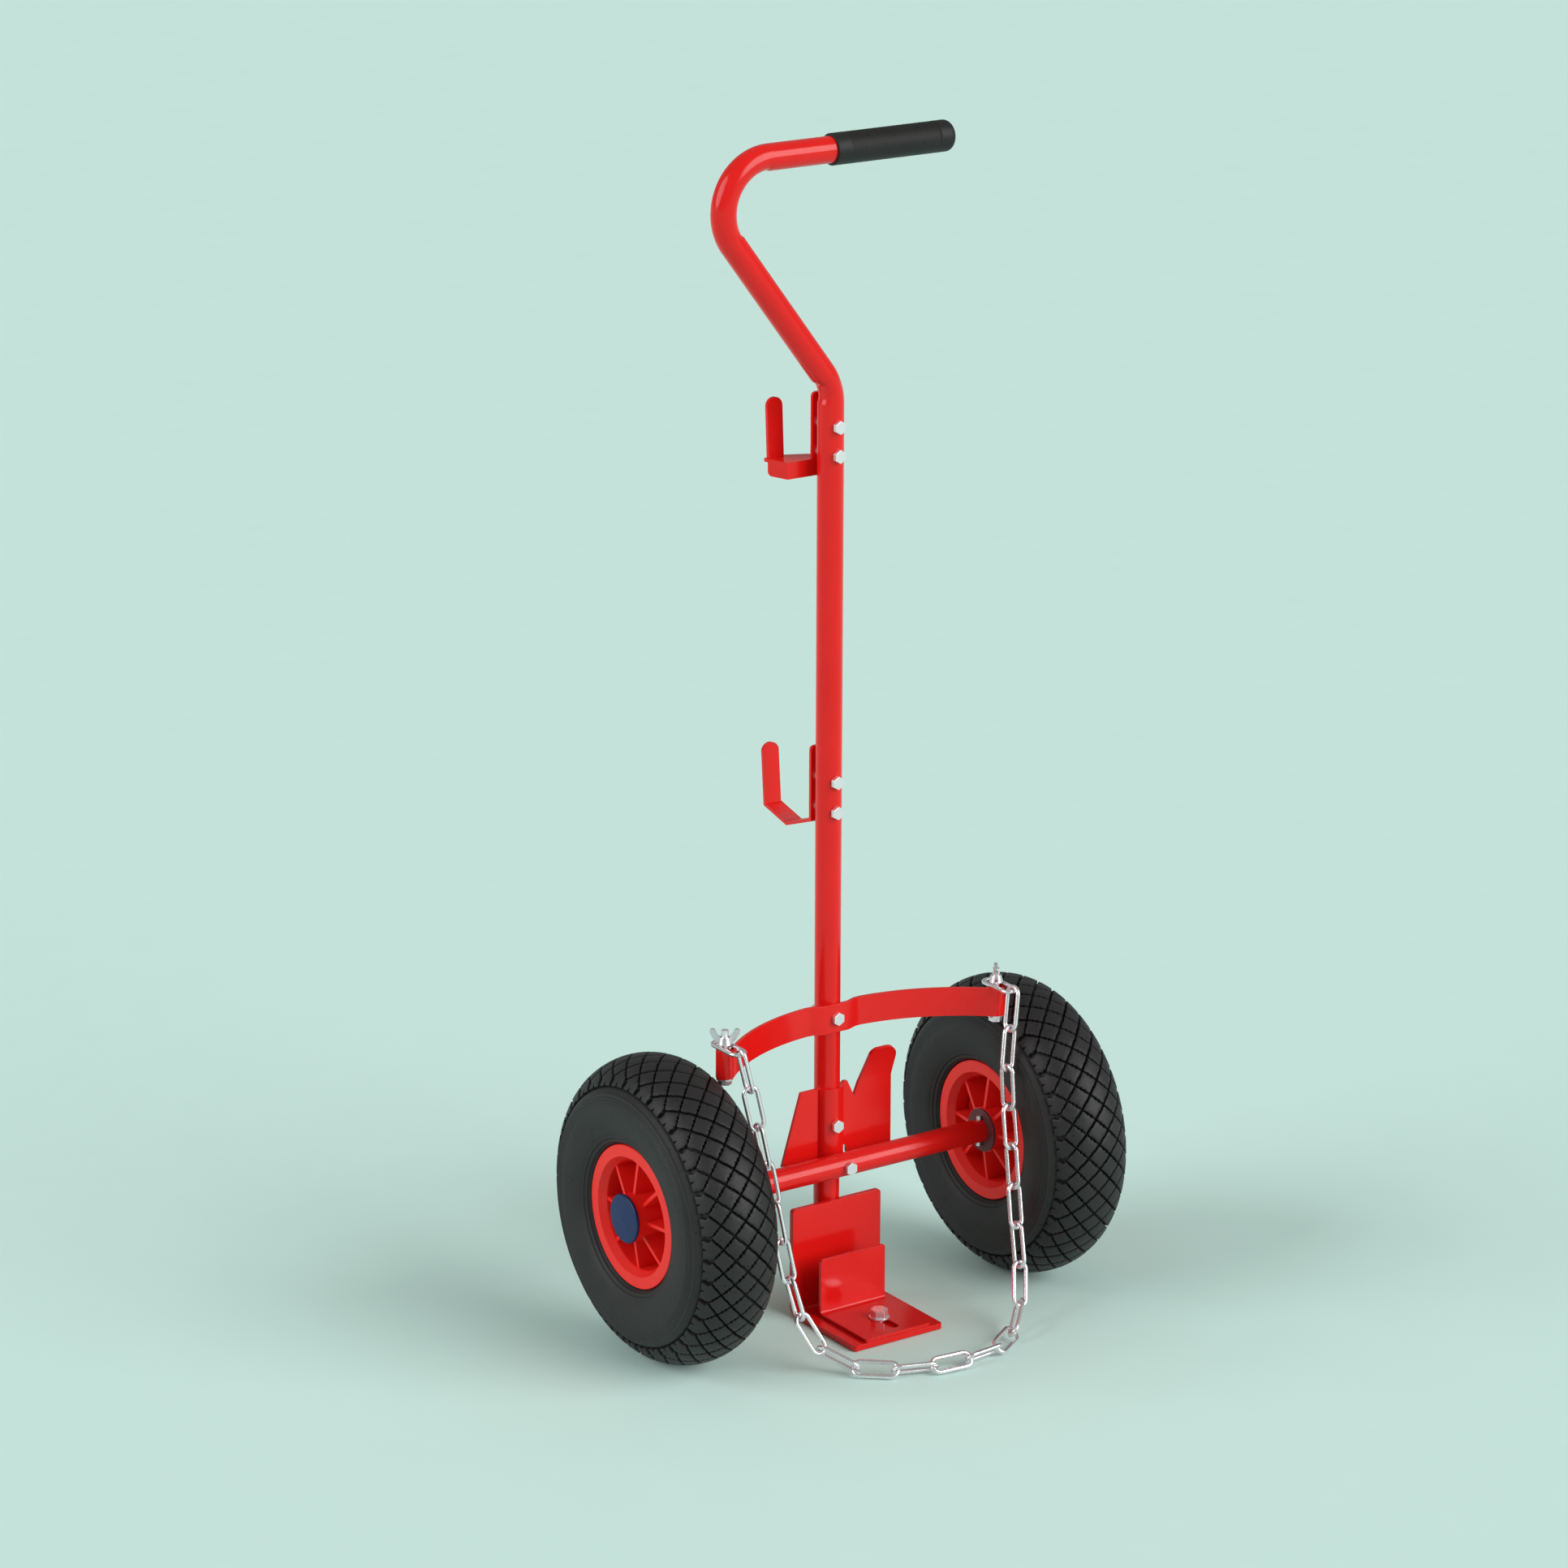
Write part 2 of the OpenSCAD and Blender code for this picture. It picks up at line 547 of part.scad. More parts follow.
// The section of the tyre, radius by distance from its middle plane
tyre_r = tyre_d / 2;
bead_w = rim_half - 2.5 - gap;
wall_half = tyre_w / 2;
tyre_c = (tyre_r + seat_r) / 2 + 2;
tyre_half = [
    [seat_r + fit, 17], [seat_r + fit, bead_w - 1.5], [seat_r + 1.5, bead_w],
    [rim_r + 0.4, bead_w], [rim_r + 1.2, bead_w + 2.6], [rim_r + 7, wall_half - 5], [tyre_c - 12, wall_half - 1.2],
    [tyre_c - 5, wall_half], [tyre_c + 6, wall_half - 0.8], [tyre_r - 24, wall_half - 4],
    [tyre_r - 16, wall_half - 8.5], [tyre_r - 9, wall_half - 14], [tyre_r - 4, wall_half - 21],
    [tyre_r - 1, wall_half - 29], [tyre_r, wall_half - 37]];
cavity_half = [
    [seat_r + 5, 0], [seat_r + 5, 15], [rim_r, bead_w - 6], [rim_r + 8, wall_half - 10],
    [tyre_c - 4, wall_half - 6.5], [tyre_c + 8, wall_half - 7.5], [tyre_r - 20, wall_half - 14],
    [tyre_r - 13, wall_half - 24], [tyre_r - 11, 0]];

tube_c = (seat_r + 5 + tyre_r - 11) / 2;
tube_r = tube_c - seat_r - 5 - 1.5;

function mirrored(p) = concat(p, [for (i = [len(p) - 1 : -1 : 0]) [p[i][0], -p[i][1]]]);

module tyre(s) color([0.2, 0.2, 0.21]) on_wheel(s) difference() {
    rotate_extrude() difference() {
        polygon(mirrored(tyre_half));
        polygon(mirrored(cavity_half));
        translate([seat_r - 5, -20]) square([14, 40]);
    }
    for (w = [-21, -7, 7, 21]) translate([0, 0, w]) rotate_extrude() translate([tyre_r - 3, 0]) square([6, 2.4], center = true);
}

module inner_tube(s) color([0.12, 0.12, 0.12]) on_wheel(s) rotate_extrude() difference() {
    translate([tube_c, 0]) circle(r = tube_r);
    translate([tube_c, 0]) circle(r = tube_r - 2.5);
}

module valve(s) color([0.15, 0.15, 0.15]) on_wheel(s) rotate([0, 0, 67.5]) translate([0, 0, valve_w]) rotate([0, 90, 0]) {
    translate([0, 0, hub_r + 12]) cylinder(d = 7.5, h = seat_r + 7.2 - hub_r - 12);
    translate([0, 0, hub_r + 5]) cylinder(d = 8.6, h = 9);
}

// Half of the split rim: flange, stepped wall, web, ribs and hub, from w = 0 outwards
module rim_half_body(hub_l) {
    difference() {
        union() {
            rotate_extrude() polygon([
                [hub_r - 1, 0], [seat_r, 0], [seat_r, rim_half - 3.3], [seat_r + 0.8, rim_half - 2.5],
                [rim_r, rim_half - 2.5], [rim_r, rim_half - 0.6], [rim_r - 0.6, rim_half],
                [rim_r - flange_w, rim_half], [barrel_r + 0.3, rim_half - 6], [barrel_r, rim_half - 7],
                [barrel_r, rib_t + 1], [barrel_r - 1, rib_t], [hub_r - 1, rib_t]]);
            cylinder(r = hub_r, h = hub_l);
            for (i = [0 : rib_n - 1]) rotate([0, 0, 360 / rib_n * i]) translate([0, rib_t / 2, 0]) rotate([90, 0, 0])
                linear_extrude(rib_t) polygon([[hub_r - 2, 1], [barrel_r + 2, 1], [barrel_r + 2, rim_half - 7],
                    [hub_r - 2, rim_half - 2.5]]);
            for (a = boss_at) rotate([0, 0, a]) translate([boss_r, 0, 0]) cylinder(d = 10, h = 16);
        }
        translate([0, 0, -1]) cylinder(r = bush_r + fit, h = hub_l + 2);
    }
}

module rim_outer(s) color([0.9, 0.22, 0.2]) on_wheel(s) difference() {
    rim_half_body(hub_end);
    translate([0, 0, hub_out]) cylinder(r = nest_r, h = 20);
    for (a = boss_at) rotate([0, 0, a]) translate([boss_r, 0, -1]) cylinder(d = 5, h = 13);
    rotate([0, 0, 67.5]) translate([0, 0, valve_w]) rotate([0, 90, 0]) translate([0, 0, hub_r + 12])
        cylinder(d = 7.5 + 2 * fit, h = seat_r + 4 - hub_r - 12);
}

module rim_inner(s) color([0.9, 0.22, 0.2]) on_wheel(s) mirror([0, 0, 1]) difference() {
    rim_half_body(hub_in);
    for (a = boss_at) rotate([0, 0, a]) translate([boss_r, 0, 0]) {
        translate([0, 0, -1]) cylinder(d = 5.3, h = 20);
        translate([0, 0, 7]) cylinder(d = 8.2, h = 20);
    }
}

module rim_screws(s) color([0.7, 0.7, 0.72]) on_wheel(s)
    for (a = boss_at) rotate([0, 0, a]) translate([boss_r, 0, 0]) {
        translate([0, 0, -8]) cylinder(d = 5, h = 19);
        difference() {
            translate([0, 0, -7 - 3.4]) cylinder(d = 7.8, h = 3.4);
            translate([0, 0, -7 - 4.4]) hex(3, 3);
        }
    }

// The flanged bushes that the wheel turns on
module bushes(s) color([0.35, 0.22, 0.23]) on_wheel(s) difference() {
    union() {
        for (e = [[-hub_in - bush_t, -hub_in + 16], [hub_out - 16, hub_out + bush_t]])
            translate([0, 0, e[0]]) cylinder(r = bush_r, h = e[1] - e[0]);
        translate([0, 0, -hub_in - bush_t]) cylinder(r = hub_r - 0.8, h = bush_t);
        translate([0, 0, hub_out]) cylinder(r = bush_r + 3, h = bush_t);
    }
    translate([0, 0, -hub_in - 5]) cylinder(r = axle_d / 2 + run, h = hub_in + hub_out + 10);
}

module hub_cap(s) color([0.1, 0.2, 0.42]) on_wheel(s) translate([0, 0, hub_end]) rotate_extrude() {
    o = cap_d / 2;
    polygon(concat([[0, 0], [nest_r - 1.6, 0], [nest_r - 1.6, -2.2], [nest_r - fit, -2.2], [nest_r - fit, 0], [o - 0.4, 0],
        [o, 0.5]], [for (a = [0 : 15 : 90]) [o - 1.6 + 1.6 * cos(a), cap_h - 2.4 + 1.6 * sin(a)]], [[0, cap_h]]));
}

module left_tyre() tyre(-1);
module left_inner_tube() inner_tube(-1);
module left_valve() valve(-1);
module left_rim_outer() rim_outer(-1);
module left_rim_inner() rim_inner(-1);
module left_rim_screws() rim_screws(-1);
module left_bushes() bushes(-1);
module left_hub_cap() hub_cap(-1);
module right_tyre() tyre(1);
module right_inner_tube() inner_tube(1);
module right_valve() valve(1);
module right_rim_outer() rim_outer(1);
module right_rim_inner() rim_inner(1);
module right_rim_screws() rim_screws(1);
module right_bushes() bushes(1);
module right_hub_cap() hub_cap(1);

lower_tube();
upper_tube();
joint_sleeve();
stem_plug();
hand_grip();
upper_hook();
lower_hook();
hook_spacers();
hook_bolts();
hook_nuts();
cradle_strap();
axle_gusset();
frame_bolts();
frame_nuts();
axle_tube();
axle_stops();
base_plate();
toe_bolt();
eye_bolts();
chain_end_links();
chain_links();
toe_stop();
wing_nut_left();
wing_nut_right();
left_tyre();
left_inner_tube();
left_valve();
left_rim_outer();
left_rim_inner();
left_rim_screws();
left_bushes();
left_hub_cap();
right_tyre();
right_inner_tube();
right_valve();
right_rim_outer();
right_rim_inner();
right_rim_screws();
right_bushes();
right_hub_cap();
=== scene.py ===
# %% [markdown]
# # A two-wheel cart for a gas bottle
# The cart is a red powder-coated tube with a gooseneck handle, two hooks, a strap with a chain, an axle with
# two pneumatic wheels and a foot plate. The solids come ready made and in their places. This lesson gives
# them their finishes, rounds the edges of sheet and bolts, and makes the tyres, the grip and the bent tube.

# %% Load the solids
import bpy
import bmesh
import json
import math
from mathutils import Matrix, Vector


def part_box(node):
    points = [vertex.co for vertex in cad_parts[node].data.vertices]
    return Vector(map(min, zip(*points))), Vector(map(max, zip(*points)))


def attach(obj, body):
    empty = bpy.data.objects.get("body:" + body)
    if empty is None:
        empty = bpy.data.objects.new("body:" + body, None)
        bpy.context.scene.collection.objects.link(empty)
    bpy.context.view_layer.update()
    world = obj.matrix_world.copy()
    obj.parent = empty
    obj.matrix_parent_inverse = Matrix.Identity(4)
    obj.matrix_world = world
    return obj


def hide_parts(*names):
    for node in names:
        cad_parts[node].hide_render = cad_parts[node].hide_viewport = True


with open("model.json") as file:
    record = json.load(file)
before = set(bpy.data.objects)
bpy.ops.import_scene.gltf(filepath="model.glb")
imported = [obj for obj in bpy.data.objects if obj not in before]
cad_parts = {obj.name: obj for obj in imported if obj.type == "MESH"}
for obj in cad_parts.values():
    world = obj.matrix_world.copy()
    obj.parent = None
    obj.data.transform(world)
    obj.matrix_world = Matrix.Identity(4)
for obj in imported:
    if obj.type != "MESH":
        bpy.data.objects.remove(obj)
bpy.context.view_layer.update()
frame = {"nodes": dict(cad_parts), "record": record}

solids = frame["nodes"]
MM = 0.001

# %% [markdown]
# ## Where the photographer stood
# The camera was found by fitting a pinhole to the rims, the tyres and the stem, whose real sizes are known. A
# long lens far away keeps the stem upright, and a small shift puts the cart where it is in the picture.

# %% Camera
CAMERA_PLACE, CAMERA_TARGET, CAMERA_ROLL_DEG = (-2.4396, -3.476, 1.787), (0, 0.024, 0.5), 0.3247

def aim(thing, target, roll=0.0):
    line = Vector(target) - thing.location
    thing.rotation_mode = "QUATERNION"
    thing.rotation_quaternion = line.to_track_quat("-Z", "Y") @ Matrix.Rotation(roll, 3, "Z").to_quaternion()

lens = bpy.data.cameras.new("long_lens")
lens.lens, lens.sensor_width = 124.46, 36.0
lens.shift_x, lens.shift_y = -0.0287, -0.0313
lens.clip_end = 50
camera = bpy.data.objects.new("camera", lens)
bpy.context.scene.collection.objects.link(camera)
camera.location = CAMERA_PLACE
aim(camera, CAMERA_TARGET, math.radians(CAMERA_ROLL_DEG))
bpy.context.scene.camera = camera
print("camera", round((camera.location - Vector(CAMERA_TARGET)).length, 2), "m away")

# %% [markdown]
# ## Colours and nodes
# Paint makers give colours as sRGB hex values, but light adds up in linear values, so one function turns each
# hex value to linear. A second one adds any node with its settings and its links.

# %% Colour and node helpers
def linear(hex_colour):
    channels = [int(hex_colour[i:i + 2], 16) / 255 for i in (1, 3, 5)]
    return tuple(c / 12.92 if c <= 0.04045 else ((c + 0.055) / 1.055) ** 2.4 for c in channels) + (1.0,)

def add_node(tree, kind, settings=None, links=None):
    node = tree.nodes.new(kind)
    for name, value in (settings or {}).items():
        if isinstance(name, int) or name in node.inputs:
            node.inputs[name].default_value = value
        else:
            setattr(node, name, value)
    for name, (source, output) in (links or {}).items():
        tree.links.new(source.outputs[output], node.inputs[name])
    return node

print("white is", linear("#FFFFFF")[:3], "and mid grey is", round(linear("#808080")[0], 3))

# %% [markdown]
# Every finish is built from the same few steps: a cloudy pattern of a real size in mm, two tones mixed by it, a
# roughness that goes up and down with it, and a shallow relief. Each step has a name here.

# %% Steps of a finish
def new_finish(name):
    finish = bpy.data.materials.new(name)
    finish.use_nodes = True
    finish.node_tree.nodes.clear()
    return finish, finish.node_tree, add_node(finish.node_tree, "ShaderNodeTexCoord")

def per_mm(size_mm):
    # a pattern repeats about once per unit, so its scale is one metre over the real size
    return 1000.0 / size_mm

def clouds(tree, place, size_mm, detail, roughness=0.5):
    return add_node(tree, "ShaderNodeTexNoise", {"Scale": per_mm(size_mm), "Detail": detail, "Roughness": roughness},
                    {"Vector": (place, "Object")})

def two_tones(tree, pattern, tone, other_tone):
    return add_node(tree, "ShaderNodeMix", {"data_type": "RGBA", 6: linear(tone), 7: linear(other_tone)},
                    {0: (pattern, "Fac")})

def between(tree, pattern, low, high):
    return add_node(tree, "ShaderNodeMapRange", {"To Min": low, "To Max": high}, {"Value": (pattern, "Fac")})

def relief(tree, pattern, strength, depth_mm):
    return add_node(tree, "ShaderNodeBump", {"Strength": strength, "Distance": depth_mm * MM},
                    {"Height": (pattern, "Fac")})

def surface(tree, settings, colour, rough, skin):
    body = add_node(tree, "ShaderNodeBsdfPrincipled", settings,
                    {"Base Color": (colour, 2), "Roughness": (rough, "Result"), "Normal": (skin, "Normal")})
    add_node(tree, "ShaderNodeOutputMaterial", None, {"Surface": (body, "BSDF")})

print("a pattern of 2 mm has the scale", per_mm(2))

# %% [markdown]
# ## Floor and light
# A product is photographed on a plain pale sweep between two large, far soft lamps. On a round tube they show as
# two long bright bands with a darker line between them, which is how the eye knows that the tube is round. A far
# lamp lights the whole floor evenly, and its wide disc makes the shadows soft.

# %% Floor
FLOOR_HALF, FLOOR_DROP = 40, 0.0006

floor_finish, tree, place = new_finish("matt_paper_floor")
shade = two_tones(tree, clouds(tree, place, 60, 2.0), "#D5F0E9", "#D8F3EC")
paper = add_node(tree, "ShaderNodeBsdfPrincipled", {"Roughness": 0.9, "Specular IOR Level": 0.1},
                 {"Base Color": (shade, 2)})
add_node(tree, "ShaderNodeOutputMaterial", None, {"Surface": (paper, "BSDF")})
floor_mesh = bmesh.new()
bmesh.ops.create_grid(floor_mesh, x_segments=8, y_segments=8, size=FLOOR_HALF)
floor_data = bpy.data.meshes.new("floor")
floor_mesh.to_mesh(floor_data)
floor_mesh.free()
floor_data.materials.append(floor_finish)
floor = bpy.data.objects.new("floor", floor_data)
bpy.context.scene.collection.objects.link(floor)
floor.location.z = -FLOOR_DROP
print("floor", 2 * FLOOR_HALF, "m wide")

# %% Lights
LAMP_AWAY = 3

def far_lamp(name, round_deg, up_deg, wide_deg, strength):
    lamp = bpy.data.lights.new(name, "SUN")
    lamp.energy, lamp.angle = strength, math.radians(wide_deg)
    holder = bpy.data.objects.new(name, lamp)
    turn, rise = math.radians(round_deg), math.radians(up_deg)
    holder.location = (LAMP_AWAY * math.cos(turn) * math.cos(rise), LAMP_AWAY * math.sin(turn) * math.cos(rise),
                       LAMP_AWAY * math.sin(rise))
    bpy.context.scene.collection.objects.link(holder)
    aim(holder, (0, 0, 0))
    print(name, "from", round_deg, "degrees round and", up_deg, "up")

far_lamp("right_lamp", 297, 26, 46, 2.4)
far_lamp("left_lamp", 167, 24, 46, 1.7)
world = bpy.data.worlds.new("studio")
world.use_nodes = True
world.node_tree.nodes.clear()
sky = add_node(world.node_tree, "ShaderNodeBackground", {"Color": linear("#DDEAE5"), "Strength": 0.38})
add_node(world.node_tree, "ShaderNodeOutputWorld", None, {"Surface": (sky, "Background")})
bpy.context.scene.world = world
bpy.context.scene.view_settings.view_transform = "Standard"
bpy.context.scene.view_settings.look = "None"

# %% [markdown]
# ## The finishes
# **Powder coat on steel tube.** Dry paint is blown on and baked, so it flows to a thick gloss skin with a fine
# orange peel of about 2 mm. The colour varies a little with its thickness.

# %% Powder coat
powder_coat, tree, place = new_finish("powder_coated_steel")
red = two_tones(tree, clouds(tree, place, 45, 3.0), "#D91412", "#E61C18")
gloss = between(tree, clouds(tree, place, 30, 3.0), 0.13, 0.2)
peel = relief(tree, clouds(tree, place, 2.2, 2.0), 0.06, 0.2)
surface(tree, {"IOR": 1.5, "Specular IOR Level": 0.3, "Coat Weight": 0.08, "Coat Roughness": 0.12}, red, gloss, peel)
print(powder_coat.name, "has", len(tree.nodes), "nodes")

# %% [markdown]
# **Bright zinc on steel.** Bolts, nuts and chain are dipped in an electrolyte, and a clear passivation leaves
# faint clouds. Grains of about 2 mm break the reflections, and the dull film on the bolts scatters part of the
# light, so they look whiter than the chain. The wing nuts are zinc castings, which are greyer and finer grained.

# %% Zinc
def zinc_finish(name, light_tone, dark_tone, grain_mm, roughest, metal_share):
    finish, tree, place = new_finish(name)
    tone = two_tones(tree, clouds(tree, place, 9, 5.0, 0.65), dark_tone, light_tone)
    grains = clouds(tree, place, grain_mm, 3.0)
    surface(tree, {"Metallic": metal_share}, tone, between(tree, grains, 0.2, roughest),
            relief(tree, grains, 0.08, 0.15))
    print(name, "has grains of", grain_mm, "mm")
    return finish

zinc_bolts = zinc_finish("bright_zinc_plated_steel", "#FFF8FB", "#EEE5EA", 2.5, 0.34, 0.85)
zinc_chain = zinc_finish("zinc_plated_chain_wire", "#FFF8FB", "#EFE6EC", 2.5, 0.34, 0.95)
zinc_cast = zinc_finish("zinc_die_casting", "#F6EEF2", "#C9C2C8", 1.0, 0.45, 0.95)

# %% [markdown]
# **Moulded plastics.** The rims are red polypropylene, the hub caps blue polyethylene and the bushes brown
# nylon. Each came out of a polished steel mould, so the surface is smooth, with faint sink marks of a few mm.

# %% Plastics
def moulded_plastic(name, tone, other_tone, roughest, coat_weight, sink_mm):
    finish, tree, place = new_finish(name)
    flow = clouds(tree, place, sink_mm, 2.0)
    rough = between(tree, clouds(tree, place, 1.2, 3.0), roughest - 0.1, roughest)
    surface(tree, {"IOR": 1.49, "Specular IOR Level": 0.3, "Coat Weight": coat_weight, "Coat Roughness": 0.15},
            two_tones(tree, flow, tone, other_tone), rough, relief(tree, flow, 0.15, 0.4))
    print(name, "has sink marks of", sink_mm, "mm")
    return finish

rim_plastic = moulded_plastic("moulded_polypropylene_rim", "#EC211C", "#F32A24", 0.42, 0.05, 14)
cap_plastic = moulded_plastic("moulded_polyethylene_cap", "#071D4C", "#0B275A", 0.36, 0.04, 9)
bush_plastic = moulded_plastic("moulded_nylon_bush", "#5A2A2C", "#6B3537", 0.5, 0.0, 7)

# %% [markdown]
# ** Rubber.** A tyre is vulcanised in a mould at 150 degrees. Carbon black makes it nearly black, it scatters light
# like a matt skin, and it carries pores of 1 to 2 mm and grey handling bloom in soft clouds. The small pits and
# hairs left where the air left the mould are not modelled: their shade is painted as black specks of about 2 mm.

# %% Rubber
# spacing and size of the painted shade specks that stand for the unmodelled vent pits and hairs
PIT_SHADE_GAP_MM, PIT_SHADE_MM = 8, 1.1

def moulded_rubber(name, tone, bloom_tone, pore_mm, least_rough, most_rough):
    finish, tree, place = new_finish(name)
    colour = two_tones(tree, clouds(tree, place, 22, 5.0, 0.6), tone, bloom_tone)
    # painted shade: black specks of about 2 mm stand for the shade in vent pits and at vent hairs, which are not
    # modelled
    cells = add_node(tree, "ShaderNodeTexVoronoi", {"Scale": per_mm(PIT_SHADE_GAP_MM)}, {"Vector": (place, "Object")})
    painted_pit_shade = add_node(tree, "ShaderNodeMapRange", {
        "From Min": 0.6 * PIT_SHADE_MM / PIT_SHADE_GAP_MM, "From Max": PIT_SHADE_MM / PIT_SHADE_GAP_MM, "To Min": 1.0, "To Max": 0.0},
        {"Value": (cells, "Distance")})
    with_painted_pit_shade = add_node(tree, "ShaderNodeMix", {"data_type": "RGBA", 7: linear("#050505")},
                       {0: (painted_pit_shade, "Result"), 6: (colour, 2)})
    pores = clouds(tree, place, pore_mm, 3.0)
    surface(tree, {"IOR": 1.5, "Specular IOR Level": 0.3}, with_painted_pit_shade, between(tree, pores, least_rough, most_rough),
            relief(tree, pores, 0.25, 0.2))
    print(name, "has pores of", pore_mm, "mm")
    return finish

tyre_rubber = moulded_rubber("vulcanised_tyre_rubber", "#201D1E", "#2C292A", 1.6, 0.42, 0.62)
tube_rubber = moulded_rubber("butyl_tube_rubber", "#1C1C1D", "#242425", 2.0, 0.5, 0.7)
grip_vinyl = moulded_rubber("dip_moulded_vinyl_grip", "#1B1918", "#242221", 1.2, 0.45, 0.6)

# %% [markdown]
# ## The finishes go on the solids
# A solid keeps its shape: only its material slot changes. The record says which slot each solid belongs to, so one
# table from slot to finish dresses them all. The wing nuts share the slot of the chain but are cast.

# %% Dress the solids
finish_of_slot = {"red_paint": powder_coat, "grip": grip_vinyl, "zinc": zinc_bolts, "chain_steel": zinc_chain,
                  "tyre": tyre_rubber, "inner_rubber": tube_rubber, "rim_plastic": rim_plastic,
                  "bush_plastic": bush_plastic, "cap_plastic": cap_plastic}
slot_of_solid = {part["node"]: part["material_slot"] for part in frame["record"]["subparts"]}
for name, solid in solids.items():
    finish = zinc_cast if name.startswith("wing_nut") else finish_of_slot[slot_of_solid[name]]
    solid.data.materials.clear()
    solid.data.materials.append(finish)
print("dressed", len(solids), "solids")

# %% [markdown]
# ## From a mesh to a piece
# Each piece below is a mesh that stands for one solid. Faces that meet at a small angle are shaded as one round
# surface and the other edges stay sharp. The piece gets its finish and rides with the part that carries it.

# %% Piece helpers
WELD = 1e-6

def shade_round(mesh, sharp_from_deg):
    for face in mesh.faces:
        face.smooth = True
    for edge in mesh.edges:
        edge.smooth = edge.calc_face_angle(0) < math.radians(sharp_from_deg)

def place_piece(name, data, finish, body, node):
    data.materials.append(finish)
    piece = bpy.data.objects.new(name, data)
    bpy.context.scene.collection.objects.link(piece)
    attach(piece, body)
    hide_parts(node)
    return piece

def make_piece(name, corners, faces, finish, body, node, sharp_from_deg):
    data = bpy.data.meshes.new(name)
    data.from_pydata([tuple(c) for c in corners], [], faces)
    data.validate()
    mesh = bmesh.new()
    mesh.from_mesh(data)
    bmesh.ops.remove_doubles(mesh, verts=mesh.verts, dist=WELD)
    bmesh.ops.recalc_face_normals(mesh, faces=mesh.faces)
    shade_round(mesh, sharp_from_deg)
    mesh.to_mesh(data)
    mesh.free()
    piece = place_piece(name, data, finish, body, node)
    print(name, len(data.polygons), "faces")
    return piece

# %% [markdown]
# ## Deburred sheet and bolts
# Bent sheet is tumbled before it is painted, so its edges are round by about half a millimetre and catch a thin
# line of light. Bolt heads are chamfered, and a cast wing nut has no sharp edge at all. A copy of each solid gets
# its flat faces joined, its sharp edges rounded and its bends shaded as one surface, and then stands for it.

# %% Round the edges
COPY_WELD, FLAT_WITHIN_DEG, SHARP_FROM_DEG = 1e-5, 0.5, 40

def rounded_copy(name, node, finish, body, edge_mm):
    mesh = bmesh.new()
    mesh.from_mesh(solids[node].data)
    bmesh.ops.remove_doubles(mesh, verts=mesh.verts, dist=COPY_WELD)
    bmesh.ops.dissolve_limit(mesh, angle_limit=math.radians(FLAT_WITHIN_DEG), verts=mesh.verts, edges=mesh.edges)
    sharp = [e for e in mesh.edges if e.calc_face_angle(0) > math.radians(SHARP_FROM_DEG)]
    bmesh.ops.bevel(mesh, geom=sharp, offset=edge_mm * MM, segments=2, profile=0.5, affect="EDGES",
                    clamp_overlap=True)
    shade_round(mesh, SHARP_FROM_DEG)
    data = bpy.data.meshes.new(name)
    mesh.to_mesh(data)
    mesh.free()
    piece = place_piece(name, data, finish, body, node)
    flat = piece.modifiers.new("flat_faces_stay_flat", "WEIGHTED_NORMAL")
    flat.keep_sharp, flat.weight = True, 100
    print(name, len(data.polygons), "faces,", len(sharp), "edges rounded")

for name, node, body, edge_mm in (
        ("bent_strap", "cradle_strap", "frame", 0.6), ("bent_base_plate", "base_plate", "frame", 0.8),
        ("bent_foot_stop", "toe_stop", "foot_stop", 0.6), ("folded_upper_hook", "upper_hook", "frame", 0.5),
        ("bent_lower_hook", "lower_hook", "frame", 0.5), ("pressed_gusset", "axle_gusset", "frame", 0.6)):
    rounded_copy(name, node, powder_coat, body, edge_mm)
for name, node, edge_mm in (
        ("chamfered_hook_bolts", "hook_bolts", 1.3), ("chamfered_frame_bolts", "frame_bolts", 1.3),
        ("chamfered_toe_bolt", "toe_bolt", 1.3), ("chamfered_hook_nuts", "hook_nuts", 0.5),
        ("chamfered_frame_nuts", "frame_nuts", 0.5)):
    rounded_copy(name, node, zinc_bolts, "frame", edge_mm)
for side in ("left", "right"):
    rounded_copy(side + "_cast_wing_nut", "wing_nut_" + side, zinc_cast, side + "_wing_nut", 0.8)

# %% [markdown]
# ## Tyres
# The tyre is a 260 x 85 block tread. Across the crown it follows an ellipse, and down each side it curves in to
# the rim. The grooves cross as a net of 38 steps round the tyre, so every block is a diamond of 21 mm from
# corner to corner. At the shoulder the groove floor rises to the surface, so the outer lugs grow out of the wall.
# Places across the crown are angles on its ellipse, and places on the wall are radius and half width in mm.

# %% Tyre section
TYRE_R, TYRE_HALF, WHEEL_X = 130.0, 42.5, 177.5
STEPS_ROUND, STEP_ACROSS, GROOVE = 38, 16.0, 4.5
CROWN_A, CROWN_B = TYRE_HALF - 4.0, 30.0
SHOULDER_END, RISE_OVER, LEAST_GROOVE = 76, 8, 0.05
WALL_SPACING, WALL_INSIDE = 0.45, 0.02

def crown(across_deg, depth):
    a = math.radians(across_deg)
    return TYRE_R - CROWN_B + (CROWN_B - depth) * math.cos(a), (CROWN_A - depth) * math.sin(a)

def groove_floor(across_deg):
    return GROOVE * min(1.0, max(LEAST_GROOVE, (SHOULDER_END - abs(across_deg)) / RISE_OVER))

def on_tyre(side, step, radius, across):
    turn = 2 * math.pi * step / STEPS_ROUND
    return Vector((side * (WHEEL_X + across), radius * math.sin(turn), TYRE_R + radius * math.cos(turn))) * MM

